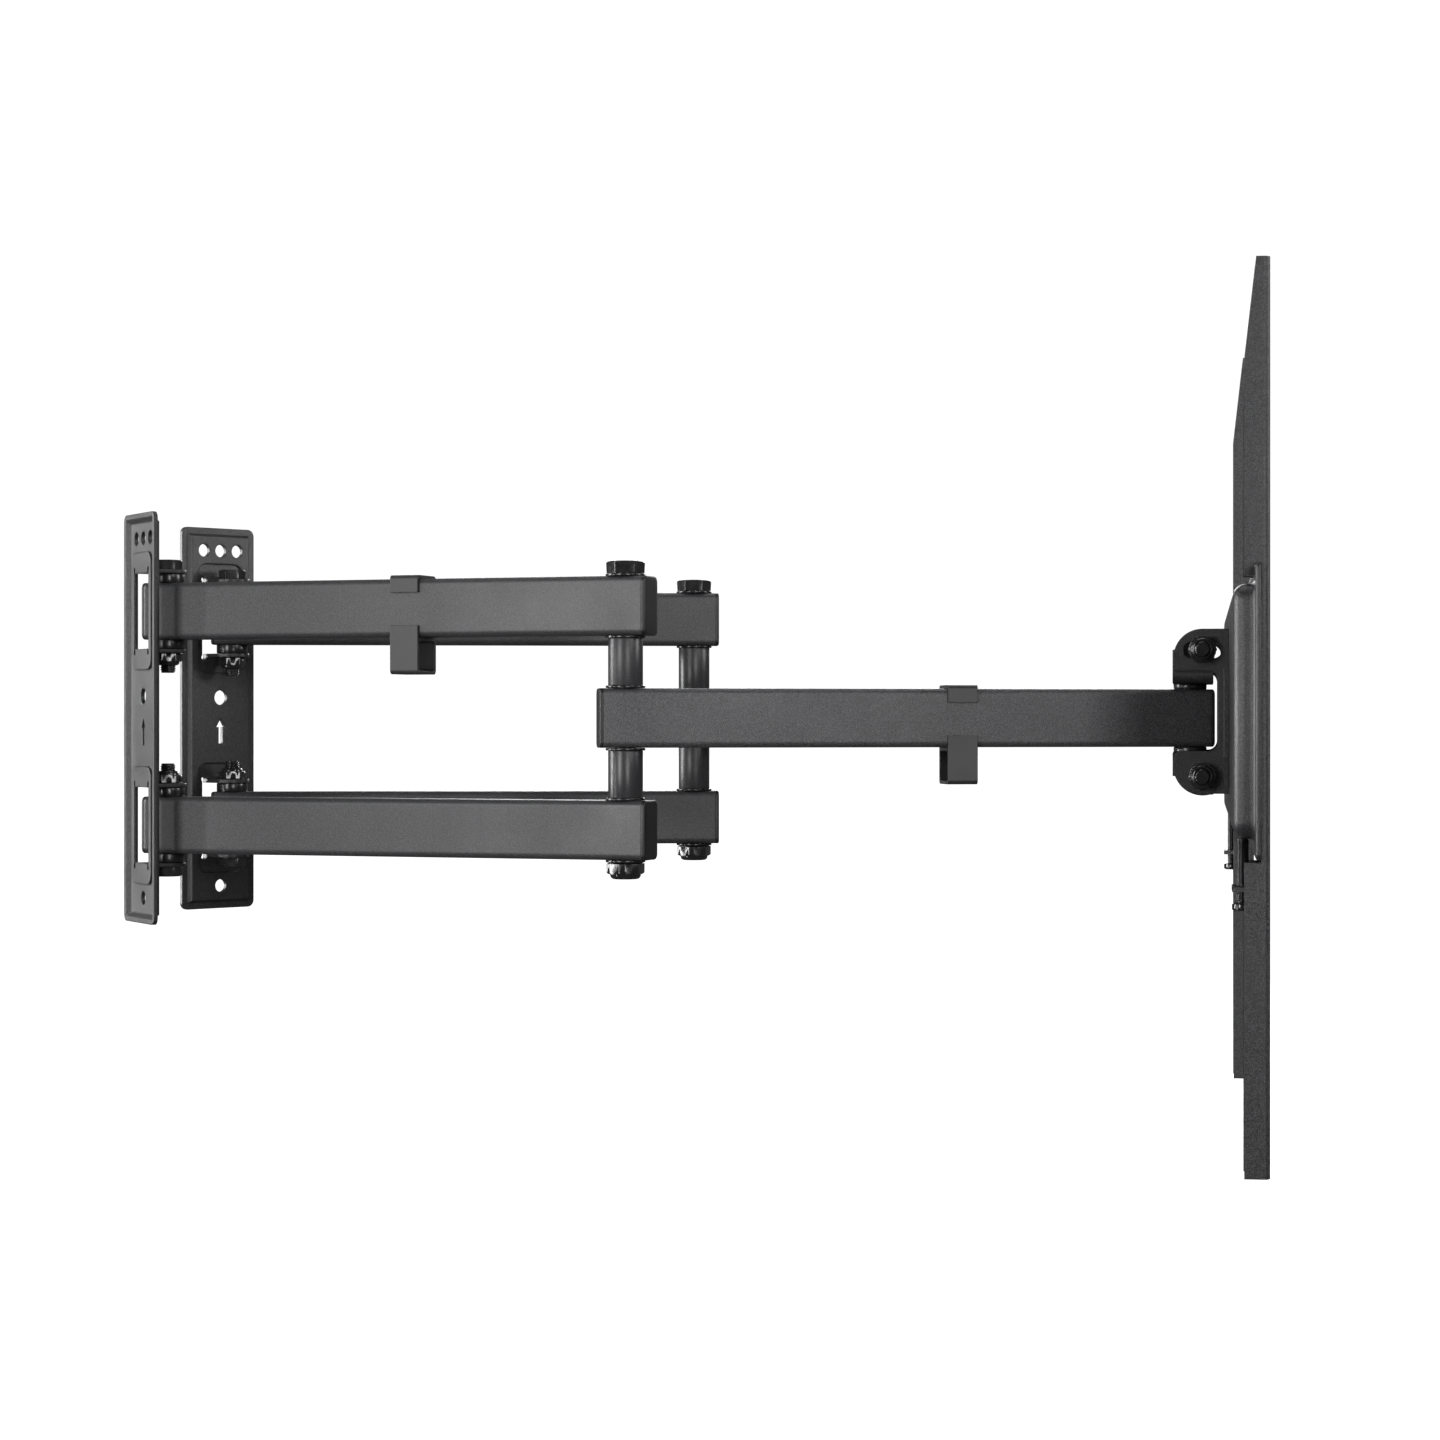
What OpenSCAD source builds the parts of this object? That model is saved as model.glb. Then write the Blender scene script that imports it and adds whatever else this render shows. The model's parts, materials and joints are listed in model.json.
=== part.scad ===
/* [Arms] */
// Shoulder axis to elbow axis of a rear arm
rear_len = 261; // [200:1:320]
// Elbow axis to wrist axis of a forearm
fore_len = 296; // [240:1:380]
// Angle of each rear arm from straight out, at rest
rear_angle = 11.5; // [4:0.5:30]
// Angle of each forearm from straight out, at rest
fore_angle = 17; // [12:0.5:34]
// Height of the arm tubes
tube_h = 30; // [24:1:40]
// Thickness of the arm tubes, side to side
tube_w = 18; // [16:1:20]
// Wall of the arm tubes
tube_wall = 1.8; // [1.2:0.1:2.5]
// Clear height between a rear tube and the forearm
tier_gap = 26.5; // [20:0.5:36]
// Tube past the elbow axis
elbow_end = 12; // [10.5:0.5:16]
// Tube past the shoulder and wrist axes
short_end = 9; // [8.5:0.5:10]
// Flange of the plastic end caps
cap_t = 2; // [1.5:0.5:2.5]

/* [Wall plates] */
// Width of a wall plate
plate_w = 48; // [44:1:64]
// Height of a wall plate
plate_h = 216; // [204:1:260]
// Sheet thickness of the wall plates
plate_t = 2.2; // [1.5:0.1:3]
// How far the centre panel stands forward of the rim
panel_rise = 2.5; // [2:0.5:3]
// How far the surround of each window is pressed back
press = 1.2; // [0.5:0.1:1.5]
// Turn of each plate from square to the wall line, at rest
plate_turn = 38; // [0:1:60]
// Shoulder axis in front of the plate's wall face
axis_out = 16; // [16:0.5:24]
// Screw hole radius
screw_r = 3.6; // [2.5:0.1:4]
// Top screw row to bottom screw hole
screw_pitch = 190; // [186:1:190]
// Spacing of the three holes in the top row
row_pitch = 11; // [10:0.5:12]
// Lug thickness
lug_t = 2; // [1.5:0.1:3]
// Lug end radius
lug_r = 9.5; // [9:0.5:9.5]

/* [Hinges] */
// Shoulder and wrist bolt radius
bolt_r = 4; // [3:0.5:4.5]
// Elbow bolt radius
elbow_bolt_r = 5; // [4:0.5:6]
// Bushing flange radius
bush_r = 8.6; // [8:0.1:10]
// Shoulder bushing flange thickness
bush_t = 4.85; // [3:0.05:6]
// Elbow spacer sleeve radius
sleeve_r = 8.8; // [7.5:0.1:9]
// Washer thickness
washer_t = 1.2; // [0.8:0.1:2]
// Elbow washer radius
washer_r = 10; // [9:0.5:11]

/* [Swivel head] */
// Distance between the two wrist axes
wrist_gap = 40; // [38:1:60]
// Wrist bushing thickness
wrist_bush_t = 2.85; // [2:0.05:4]
// Sheet thickness of the swivel brackets and tilt plates
head_t = 2.5; // [2:0.1:3]
// Flange depth behind the wrist axes
flange_back = 9; // [9:0.5:12]
// Flange depth in front of the wrist axes
flange_front = 12; // [10:0.5:13]
// Outside of each swivel ear from the middle
ear_out = 40.5; // [38:0.5:50]
// Tilt bolts in front of the wrist axes
tilt_x = 6.4; // [4:0.1:6.4]
// Tilt pivot below the underside of the forearm tubes
pivot_out = 15; // [15:0.5:19]
// Slot bolt above the top of the forearm tubes
slot_out = 20.3; // [19:0.1:23]
// Ear end radius
ear_r = 15; // [14:0.5:15]
// Tilt each way
tilt_deg = 5; // [2:0.5:5]
// Tilt washer radius
tilt_washer_r = 7; // [6:0.1:7]

/* [Screen frame] */
// Back of the rail in front of the wrist axes
rail_x = 19.8; // [19.8:0.1:26]
// Depth of the rail's channel
rail_d = 12.6; // [10:0.2:14]
// Rail sheet thickness
rail_t = 2.2; // [1.5:0.1:2.6]
// Height of the rail's channel
rail_h = 117; // [110:1:140]
// Height of each rail flange
rail_flange = 9.5; // [8:0.5:16]
// Width of the rim at each end of the rail
end_rim = 6; // [4:0.5:10]
// Middle of the rail above the forearm line
rail_z = 3; // [0:0.5:5]
// Length of the rail
rail_len = 444; // [440:1:520]
// Height of a screen bracket
bracket_h = 424; // [420:1:500]
// Width of a screen bracket
bracket_w = 28; // [24:1:36]
// Depth of a screen bracket
bracket_d = 12; // [12:0.5:16]
// Screen bracket sheet thickness
bracket_t = 2; // [1.5:0.1:2.5]
// Screen screw pattern, side to side
screen_w = 400; // [300:50:400]
// Screen screw pattern, top to bottom
screen_h = 400; // [300:50:400]
// Screen screw hole radius
screen_r = 4.2; // [3:0.1:4.5]
// Lock screw radius
lock_r = 3; // [2:0.5:3]

/* [Cable clips] */
// Length of a clip along its tube
clip_l = 15.5; // [8:0.5:20]
// Wall of a clip
clip_t = 1.8; // [1.2:0.1:2.5]
// Depth of a clip's cable loop
clip_drop = 19; // [14:1:19]
// Rear clip from the elbow axis
rear_clip_at = 118; // [60:1:180]
// Forearm clip from the wrist axis
fore_clip_at = 124; // [60:1:220]

/* [Hidden] */
$fn = 48;
run = 0.08;
slip = 0.15;
snug = 0.05;
eps = 0.01;
tier_z = tube_h + tier_gap;
corner_r = 3;
spigot_r = bolt_r + 1.6;
spigot_in = 1.5;
elbow = [-fore_len * cos(fore_angle), -wrist_gap / 2 - fore_len * sin(fore_angle)];
shoulder = elbow + rear_len * [-cos(rear_angle), sin(rear_angle)];
rear_top = tier_z + tube_h / 2;
rear_bottom = tier_z - tube_h / 2;
lug_in = tube_h / 2 + bush_t + slip;
head_h = 5.3;
nut_h = 6.5;
elbow_head_h = 6.4;
elbow_nut_h = 8.5;
hex_ratio = 1.08;
bolt_flats = 13;
elbow_flats = 17;
bolt_head_r = bolt_flats / 2 * hex_ratio;
elbow_head_r = elbow_flats / 2 * hex_ratio;
bolt_tip = 4;
nut_crown = 2;
rim = 2.5;
bevel = 2.5;
window_w = 23;
surround_w = 30;
surround_over = 9;
surround_r = 6;
relief_r = 1.3;
setting_r = 4.2;
setting_z = 11.7;
bend_r = 2.5;
flange_z = tube_h / 2 + slip + wrist_bush_t;
plate_in = ear_out + 1.2;
plate_y = plate_in + head_t;
web_w = 5.4;
weld_w = 13;
pivot_drop = tube_h / 2 + pivot_out;
slot_rise = tube_h / 2 + slot_out;
ear_over = 10.7;
ear_under = 9;
ear_drop = 5;
slot_radius = slot_rise + pivot_drop;
slot_play = 0.2;
slot_tip = 1.5;
top_z = slot_rise + ear_over;
low_z = -pivot_drop - ear_under;
gap_under_slot = 10.9;
gap_over_pivot = 13;
gap_top = slot_rise - gap_under_slot;
gap_low = -pivot_drop + gap_over_pivot;
gap_fillet = 5;
weld_inset = 10;
weld_low = -pivot_drop + weld_inset;
weld_high = slot_rise - weld_inset;
rail_front = rail_x + rail_d;
rail_corner = 6;
flange_top = rail_h / 2 + rail_flange;
bracket_proud = 4.6;
bracket_back = rail_x + rail_d + bracket_proud - bracket_d;
bracket_front = bracket_back + bracket_d;
hook_gap = 0.4;
hook_h = 5.5;
hook_top = 0.3;
notch_over = 7;
notch_under = 1.5;
bend_out = 3;
bend_in = 1;
hole_step = 50;
taper_h = 48;
taper_d = 5.5;
lock_in = 4.8;
lock_gap = 0.35;
lock_x = rail_x + lock_in;
lock_top = rail_z - rail_h / 2 - lock_gap;
tab_drop = 22;
tab_z = lock_top - tab_drop;
tab_t = 2.3;
tab_back = 5;
lock_reach = 8;
lock_head_z = tab_z - lock_reach;
lock_head_h = 3.6;
lock_head_r = lock_r + 2;
mouth_low = 9;
mouth_h = 17;
clip_gap = 0.1;
clip_corner = 2.2;

// ---- shared shapes ----

// Everything is drawn for the left side; the right side is its mirror image.
module side(name) {
    if (name == "left") children();
    else mirror([0, 1, 0]) children();
}

module both_sides() {
    children();
    mirror([0, 1, 0]) children();
}

module both_ends() {
    children();
    mirror([0, 0, 1]) children();
}

module rounded(w, h, r) {
    square([w - 2 * r, h], center = true);
    square([w, h - 2 * r], center = true);
    for (x = [-1, 1], y = [-1, 1])
        translate([x * (w / 2 - r), y * (h / 2 - r)]) circle(r);
}

module post(r, z0, z1) {
    translate([0, 0, z0]) cylinder(r = r, h = z1 - z0);
}

module ring(r, bore, z0, z1) {
    difference() {
        post(r, z0, z1);
        post(bore, z0 - 1, z1 + 1);
    }
}

module hex_post(r, z0, z1) {
    translate([0, 0, z0]) cylinder(r = r, h = z1 - z0, $fn = 6);
}

module at_wrist() translate([0, -wrist_gap / 2, 0]) children();
module at_elbow() translate([elbow.x, elbow.y, 0]) children();
module at_shoulder() translate([shoulder.x, shoulder.y, 0]) children();
module on_rear() at_shoulder() rotate([0, 0, -rear_angle]) children();
module on_fore() at_elbow() rotate([0, 0, fore_angle]) children();

// ---- arms ----

module tube(length, start, end, r_start, r_end) {
    difference() {
        translate([-start, 0, 0]) rotate([90, 0, 90])
            linear_extrude(start + length + end) difference() {
                rounded(tube_w, tube_h, corner_r);
                rounded(tube_w - 2 * tube_wall, tube_h - 2 * tube_wall, corner_r - tube_wall);
            }
        post(r_start, -tube_h, tube_h);
        translate([length, 0, 0]) post(r_end, -tube_h, tube_h);
    }
}

module rear_tube(level) color("dimgray")
    on_rear() translate([0, 0, level * tier_z])
        tube(rear_len, short_end, elbow_end, spigot_r + snug, elbow_bolt_r + run);

module forearm_tube() color("dimgray")
    on_fore() tube(fore_len, elbow_end, short_end, elbow_bolt_r + run, bolt_r + run);

module cap(x, out) {
    plug = 3;
    translate([x, 0, 0]) rotate([90, 0, out * 90]) {
        linear_extrude(cap_t) rounded(tube_w, tube_h, corner_r);
        translate([0, 0, -plug]) linear_extrude(plug)
            rounded(tube_w - 2 * tube_wall - 2 * snug, tube_h - 2 * tube_wall - 2 * snug, 1);
    }
}

module rear_end_caps() color("black")
    on_rear() for (level = [-1, 1]) translate([0, 0, level * tier_z]) {
        cap(-short_end, -1);
        cap(rear_len + elbow_end, 1);
    }

module forearm_end_caps() color("black")
    on_fore() {
        cap(-elbow_end, -1);
        cap(fore_len + short_end, 1);
    }

module clip() {
    half = tube_w / 2;
    top = tube_h / 2;
    out = half + clip_gap + clip_t;
    high = top + clip_gap + clip_t;
    low = -top - clip_drop;
    loop_h = clip_drop - clip_gap - 2 * clip_t;
    rotate([90, 0, 90]) translate([0, 0, -clip_l / 2]) linear_extrude(clip_l) difference() {
        translate([0, (high + low) / 2]) rounded(2 * out, high - low, clip_corner);
        square([tube_w + 2 * clip_gap, tube_h + 2 * clip_gap], center = true);
        translate([0, low + clip_t + loop_h / 2])
            rounded(2 * out - 2 * clip_t, loop_h, clip_corner - clip_t + 1);
        translate([-out - 1, -mouth_low]) square([clip_t + 2, mouth_h]);
    }
}

module rear_cable_clip() color("black")
    on_rear() translate([rear_len - rear_clip_at, 0, tier_z]) clip();

module forearm_cable_clip() color("black")
    on_fore() translate([fore_len - fore_clip_at, 0, 0]) clip();

// ---- shoulder hinges ----

module shoulder_bolt() {
    tip = tier_z - lug_in - lug_t - nut_h - bolt_tip;
    seat = tier_z + lug_in + lug_t;
    post(bolt_r, tip, seat);
    hex_post(bolt_head_r, seat, seat + head_h);
}

module shoulder_bolts() color("black")
    at_shoulder() both_ends() shoulder_bolt();

module shoulder_nuts() color("black")
    at_shoulder() both_ends() difference() {
        hex_post(bolt_head_r, tier_z - lug_in - lug_t - nut_h, tier_z - lug_in - lug_t);
        post(bolt_r, 0, tier_z);
    }

module shoulder_bushings() color("black")
    at_shoulder() both_ends() translate([0, 0, tier_z]) both_ends() difference() {
        union() {
            post(bush_r, tube_h / 2, tube_h / 2 + bush_t);
            post(spigot_r, tube_h / 2 - tube_wall - spigot_in, tube_h / 2 + 1);
        }
        post(bolt_r + run, 0, tube_h);
    }

// ---- elbow hinges ----

module elbow_bolt() color("black")
    at_elbow() {
        post(elbow_bolt_r, -rear_top - washer_t - elbow_nut_h + 1, rear_top + washer_t);
        hex_post(elbow_head_r, rear_top + washer_t, rear_top + washer_t + elbow_head_h);
    }

module elbow_nut() color("black")
    at_elbow() mirror([0, 0, 1]) difference() {
        z0 = rear_top + washer_t;
        union() {
            hex_post(elbow_head_r, z0, z0 + elbow_nut_h - nut_crown);
            post(elbow_bolt_r + nut_crown, z0 + 1, z0 + elbow_nut_h);
        }
        post(elbow_bolt_r, z0 - 1, z0 + elbow_nut_h + 1);
    }

module elbow_sleeves() color("dimgray")
    at_elbow() both_ends()
        ring(sleeve_r, elbow_bolt_r + snug, tube_h / 2 + slip + washer_t, rear_bottom - washer_t);

module elbow_washers() color("black")
    at_elbow() both_ends() for (z = [tube_h / 2 + slip, rear_bottom - washer_t, rear_top])
        ring(washer_r, elbow_bolt_r + snug, z, z + washer_t);

// ---- wall plates ----

// The pressed panel: a flat top with sloping sides, cut from two crossed trapezoid bars.
module pan(drop) {
    high = panel_rise + plate_t - drop;
    half_w = plate_w / 2 - rim;
    half_h = plate_h / 2 - rim;
    intersection() {
        translate([0, 0, -plate_h / 2]) linear_extrude(plate_h) polygon([
            [-eps, -half_w], [high, -half_w + bevel], [high, half_w - bevel], [-eps, half_w]
        ]);
        rotate([90, 0, 0]) translate([0, 0, -plate_w / 2]) linear_extrude(plate_w) polygon([
            [-eps, -half_h], [high, -half_h + bevel], [high, half_h - bevel], [-eps, half_h]
        ]);
    }
}

module plate_hole(r, u, z) {
    translate([-1, u, z]) rotate([0, 90, 0]) cylinder(r = r, h = panel_rise + plate_t + 2);
}

module lug(z) {
    translate([0, 0, z]) difference() {
        union() {
            translate([panel_rise - press, -lug_r, 0])
                cube([axis_out - panel_rise + press, 2 * lug_r, lug_t]);
            translate([axis_out, 0, 0]) cylinder(r = lug_r, h = lug_t);
        }
        translate([axis_out, 0, -1]) cylinder(r = bolt_r + snug, h = lug_t + 2);
    }
}

module lug_bend(z, up) {
    translate([panel_rise + plate_t - press - eps, -lug_r, z]) scale_z(up) difference() {
        cube([bend_r, 2 * lug_r, bend_r]);
        translate([bend_r, -1, bend_r]) rotate([-90, 0, 0])
            cylinder(r = bend_r, h = 2 * lug_r + 2);
    }
}

module scale_z(up) {
    if (up > 0) children();
    else mirror([0, 0, 1]) children();
}

module surround(from, depth) {
    low = tier_z - lug_in - lug_t - surround_over;
    high = tier_z + lug_in + lug_t + surround_over;
    translate([from, 0, (low + high) / 2]) rotate([90, 0, 90])
        linear_extrude(depth) rounded(surround_w, high - low, surround_r);
}

module window() {
    low = tier_z - lug_in - lug_t;
    high = tier_z + lug_in + lug_t;
    front = panel_rise + plate_t;
    translate([-1, -window_w / 2, low]) cube([front + 2, window_w, high - low]);
    for (z = [low, high], u = [-1, 1])
        translate([-1, u * (lug_r + relief_r), z]) rotate([0, 90, 0])
            cylinder(r = relief_r, h = front + 2);
}

module arrow() {
    head_w = 5.8;
    head_l = 5;
    shaft_w = 2.7;
    shaft_l = 9.3;
    rotate([90, 0, 90]) translate([0, 0, -1]) linear_extrude(panel_rise + plate_t + 2) polygon([
        [0, 0], [-head_w / 2, -head_l], [-shaft_w / 2, -head_l],
        [-shaft_w / 2, -head_l - shaft_l], [shaft_w / 2, -head_l - shaft_l],
        [shaft_w / 2, -head_l], [head_w / 2, -head_l]
    ]);
}

module wall_plate() color("dimgray")
    at_shoulder() rotate([0, 0, plate_turn]) translate([-axis_out, 0, 0]) {
        difference() {
            union() {
                difference() {
                    rotate([90, 0, 90]) linear_extrude(plate_t) rounded(plate_w, plate_h, 4);
                    pan(plate_t + eps);
                }
                difference() {
                    pan(0);
                    pan(plate_t);
                }
                both_ends() surround(panel_rise - press, press + eps);
            }
            both_ends() surround(panel_rise + plate_t - press, press + 1);
            both_ends() window();
            for (u = [-1, 0, 1]) plate_hole(screw_r, u * row_pitch, screw_pitch / 2);
            plate_hole(screw_r, 0, -screw_pitch / 2);
            plate_hole(setting_r, 0, setting_z);
            arrow();
        }
        both_ends() {
            lug(tier_z + lug_in);
            lug(tier_z - lug_in - lug_t);
            lug_bend(tier_z + lug_in + lug_t - eps, 1);
            lug_bend(tier_z - lug_in - lug_t + eps, -1);
        }
    }

// ---- swivel head ----

module wrist_bolts() color("black")
    both_sides() at_wrist() {
        post(bolt_r, -flange_z - head_t - nut_h - bolt_tip / 2, flange_z + head_t);
        hex_post(bolt_head_r, flange_z + head_t, flange_z + head_t + head_h);
    }

module wrist_nuts() color("black")
    both_sides() at_wrist() mirror([0, 0, 1]) difference() {
        hex_post(bolt_head_r, flange_z + head_t, flange_z + head_t + nut_h);
        post(bolt_r, flange_z, flange_z + head_t + nut_h + 1);
    }

module wrist_bushings() color("black")
    both_sides() at_wrist() both_ends()
        ring(bush_r, bolt_r + snug, tube_h / 2 + slip, flange_z);

// A flat flange over the tube ends, with an ear bent up at each side.
module swivel_bracket(bolt_z) {
    bend = 4;
    depth = flange_back + flange_front;
    difference() {
        union() {
            translate([-flange_back, -ear_out + bend, flange_z])
                cube([depth, 2 * (ear_out - bend), head_t]);
            both_sides() translate([-flange_back, -ear_out + bend, flange_z + bend])
                rotate([90, 0, 90]) linear_extrude(depth) intersection() {
                    difference() {
                        circle(bend);
                        circle(bend - head_t);
                    }
                    translate([-bend, -bend]) square(bend);
                }
            both_sides() translate([-flange_back, -ear_out, flange_z + bend - eps])
                cube([depth, head_t, bolt_z - flange_z - bend]);
            both_sides() translate([0, -ear_out + head_t, 0]) rotate([90, 0, 0])
                linear_extrude(head_t) intersection() {
                    union() {
                        translate([tilt_x, bolt_z - ear_drop]) circle(ear_r);
                        translate([tilt_x, bolt_z - ear_drop])
                            square([flange_front - tilt_x, ear_r - 0.5]);
                    }
                    translate([-flange_back, flange_z + bend])
                        square([depth, 2 * ear_r + bolt_z]);
                }
        }
        both_sides() at_wrist() post(bolt_r + snug, 0, flange_z + head_t + 1);
        translate([tilt_x, 0, bolt_z]) rotate([90, 0, 0])
            cylinder(r = bolt_r + snug, h = 4 * ear_out, center = true);
    }
}

module upper_swivel_bracket() color("dimgray") swivel_bracket(slot_rise);
module lower_swivel_bracket() color("dimgray") mirror([0, 0, 1]) swivel_bracket(pivot_drop);

// ---- tilt plates ----

module tilt_plate() color("dimgray")
    difference() {
        union() {
            translate([0, -plate_in, 0]) rotate([90, 0, 0]) linear_extrude(head_t)
                tilt_outline();
            translate([rail_x - head_t, -plate_y - weld_w, weld_low])
                cube([head_t, weld_w + head_t, weld_high - weld_low]);
        }
        translate([tilt_x, 0, -pivot_drop]) rotate([90, 0, 0])
            cylinder(r = bolt_r + run, h = 2 * plate_y);
        translate([tilt_x, -plate_in + 1, -pivot_drop]) rotate([90, 0, 0]) tilt_slot();
    }

module tilt_outline() {
    back = rail_x - web_w;
    reach = 2 * ear_r;
    difference() {
        intersection() {
            union() {
                for (z = [low_z + ear_r, top_z - ear_r]) translate([tilt_x, z]) circle(ear_r);
                translate([tilt_x, low_z]) square([rail_x - tilt_x, top_z - low_z]);
            }
            translate([tilt_x - ear_r, low_z]) square([rail_x - tilt_x + ear_r, top_z - low_z]);
        }
        translate([back - reach, gap_low + gap_fillet])
            square([reach, gap_top - gap_low - 2 * gap_fillet]);
        translate([back - reach - gap_fillet, gap_low]) square([reach, gap_top - gap_low]);
        for (z = [gap_low + gap_fillet, gap_top - gap_fillet])
            translate([back - gap_fillet, z]) circle(gap_fillet);
    }
}

module tilt_slot() {
    width = bolt_r + slot_play;
    long = head_t + 2;
    rotate([0, 0, 90 - tilt_deg]) rotate_extrude(angle = 2 * tilt_deg)
        translate([slot_radius - width, 0]) square([2 * width, long]);
    for (a = [-1, 1]) rotate([0, 0, a * tilt_deg])
        translate([0, slot_radius, 0]) cylinder(r = width, h = long);
}

// Bolt along Y from inside the ear to outside the plate.
module tilt_bolt() {
    inner = ear_out - head_t;
    outer = plate_y + washer_t;
    translate([tilt_x, 0, 0]) rotate([90, 0, 0]) {
        post(bolt_r, inner, outer + nut_h + slot_tip);
        hex_post(bolt_head_r, inner - head_h, inner);
    }
}

module tilt_nut() {
    outer = plate_y + slip + washer_t;
    translate([tilt_x, 0, 0]) rotate([90, 0, 0]) difference() {
        hex_post(bolt_head_r, outer, outer + nut_h - slip);
        post(bolt_r, outer - 1, outer + nut_h + 1);
    }
}

module tilt_pivot_bolts() color("black")
    both_sides() translate([0, 0, -pivot_drop]) tilt_bolt();
module tilt_slot_bolts() color("black")
    both_sides() translate([0, 0, slot_rise]) tilt_bolt();
module tilt_pivot_nuts() color("black")
    both_sides() translate([0, 0, -pivot_drop]) tilt_nut();
module tilt_slot_nuts() color("black")
    both_sides() translate([0, 0, slot_rise]) tilt_nut();

module tilt_washers() color("black")
    both_sides() for (z = [-pivot_drop, slot_rise])
        translate([tilt_x, 0, z]) rotate([90, 0, 0])
            ring(tilt_washer_r, bolt_r + snug, plate_y + slip, plate_y + slip + washer_t);

module tilt_spacers() color("black")
    both_sides() for (z = [-pivot_drop, slot_rise])
        translate([tilt_x, 0, z]) rotate([90, 0, 0])
            ring(tilt_washer_r, bolt_r + snug, ear_out, plate_in - slip);

// ---- rail ----

// Half of a rounded strip: flat at the front, with round corners at the back.
module rail_outline(span, inset) {
    half = span / 2 - inset;
    r = rail_corner - inset;
    translate([rail_x + rail_corner, 0]) {
        translate([0, -half]) square([rail_d - rail_corner, 2 * half]);
        translate([-r, -half + r]) square([r + eps, 2 * half - 2 * r]);
        for (z = [-1, 1]) translate([0, z * (half - r)]) intersection() {
            circle(r);
            translate([-r, -r]) square([r + eps, 2 * r]);
        }
    }
}

// The rail is pressed from one sheet: a block with rounded back edges, hollowed by a smaller one.
module rail_block(inset) {
    intersection() {
        rotate([90, 0, 0]) linear_extrude(rail_len, center = true) rail_outline(rail_h, inset);
        linear_extrude(rail_h, center = true) rail_outline(rail_len, inset);
    }
}

module tv_rail() color("dimgray")
    translate([0, 0, rail_z]) difference() {
        union() {
            rail_block(0);
            translate([rail_front - rail_t, -rail_len / 2 - end_rim, -flange_top])
                cube([rail_t, rail_len + 2 * end_rim, 2 * flange_top]);
        }
        rail_block(rail_t);
        translate([rail_front - 1, -rail_len / 2 + rail_t, -rail_h / 2 + rail_t])
            cube([2, rail_len - 2 * rail_t, rail_h - 2 * rail_t]);
    }

// ---- screen brackets ----

// What is cut from the side flanges: the slope at the top, the hook slots and the rail's room.
module bracket_cuts() {
    top = rail_z + flange_top;
    low = rail_z - flange_top;
    slot_back = rail_front - rail_t - hook_gap;
    slot_front = rail_front + hook_gap;
    polygon([
        [bracket_back - 1, bracket_h / 2 - taper_h],
        [bracket_back, bracket_h / 2 - taper_h],
        [bracket_back + taper_d, bracket_h / 2 + eps],
        [bracket_back - 1, bracket_h / 2 + eps]
    ]);
    translate([bracket_back - 1, top - rail_flange - notch_over])
        square([slot_front - bracket_back + 1, rail_flange + notch_over - hook_h]);
    translate([slot_back, top - hook_h - 1])
        square([slot_front - slot_back, hook_h + 1 + hook_top]);
    translate([bracket_back - 1, low - notch_under])
        square([slot_front - bracket_back + 1, rail_flange + notch_over + notch_under]);
}

// A channel open towards the rail, with rounded bends along the front.
module bracket_channel(inset, corner) {
    half = bracket_w / 2 - inset;
    front = bracket_front - inset;
    translate([bracket_back - inset, -half]) square([bracket_d - corner, 2 * half]);
    translate([bracket_back - inset, -half + corner]) square([bracket_d, 2 * half - 2 * corner]);
    for (y = [-1, 1]) translate([front - corner, y * (half - corner)]) circle(corner);
}

module screen_bracket() color("dimgray") translate([0, -screen_w / 2, 0]) {
    difference() {
        linear_extrude(bracket_h, center = true) difference() {
            bracket_channel(0, bend_out);
            bracket_channel(bracket_t, bend_in);
        }
        rotate([90, 0, 0]) linear_extrude(2 * bracket_w, center = true) bracket_cuts();
        for (k = [0 : 2], s = [-1, 1])
            translate([bracket_front - bracket_t - 1, 0, s * (screen_h / 2 - k * hole_step)])
                rotate([0, 90, 0]) cylinder(r = screen_r, h = bracket_t + 2);
    }
    difference() {
        translate([lock_x - tab_back, -bracket_w / 2 + bracket_t / 2, tab_z - tab_t])
            cube([2 * tab_back, bracket_w - bracket_t, tab_t]);
        translate([lock_x, 0, 0]) post(lock_r, tab_z - tab_t - 1, tab_z + 1);
    }
}

module lock_screw() color("black")
    translate([lock_x, -screen_w / 2, 0]) {
        post(lock_r, lock_head_z, lock_top);
        post(lock_head_r, lock_head_z - lock_head_h, lock_head_z);
    }

side("left") wall_plate();  // left_wall_plate
side("right") wall_plate();  // right_wall_plate
side("left") rear_tube(1);  // left_upper_rear_tube
side("left") rear_tube(-1);  // left_lower_rear_tube
side("right") rear_tube(1);  // right_upper_rear_tube
side("right") rear_tube(-1);  // right_lower_rear_tube
side("left") rear_end_caps();  // left_rear_end_caps
side("right") rear_end_caps();  // right_rear_end_caps
side("left") forearm_tube();  // left_forearm_tube
side("right") forearm_tube();  // right_forearm_tube
side("left") forearm_end_caps();  // left_forearm_end_caps
side("right") forearm_end_caps();  // right_forearm_end_caps
side("left") shoulder_bolts();  // left_shoulder_bolts
side("right") shoulder_bolts();  // right_shoulder_bolts
side("left") shoulder_nuts();  // left_shoulder_nuts
side("right") shoulder_nuts();  // right_shoulder_nuts
side("left") shoulder_bushings();  // left_shoulder_bushings
side("right") shoulder_bushings();  // right_shoulder_bushings
side("left") elbow_bolt();  // left_elbow_bolt
side("right") elbow_bolt();  // right_elbow_bolt
side("left") elbow_nut();  // left_elbow_nut
side("right") elbow_nut();  // right_elbow_nut
side("left") elbow_sleeves();  // left_elbow_sleeves
side("right") elbow_sleeves();  // right_elbow_sleeves
side("left") elbow_washers();  // left_elbow_washers
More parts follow.
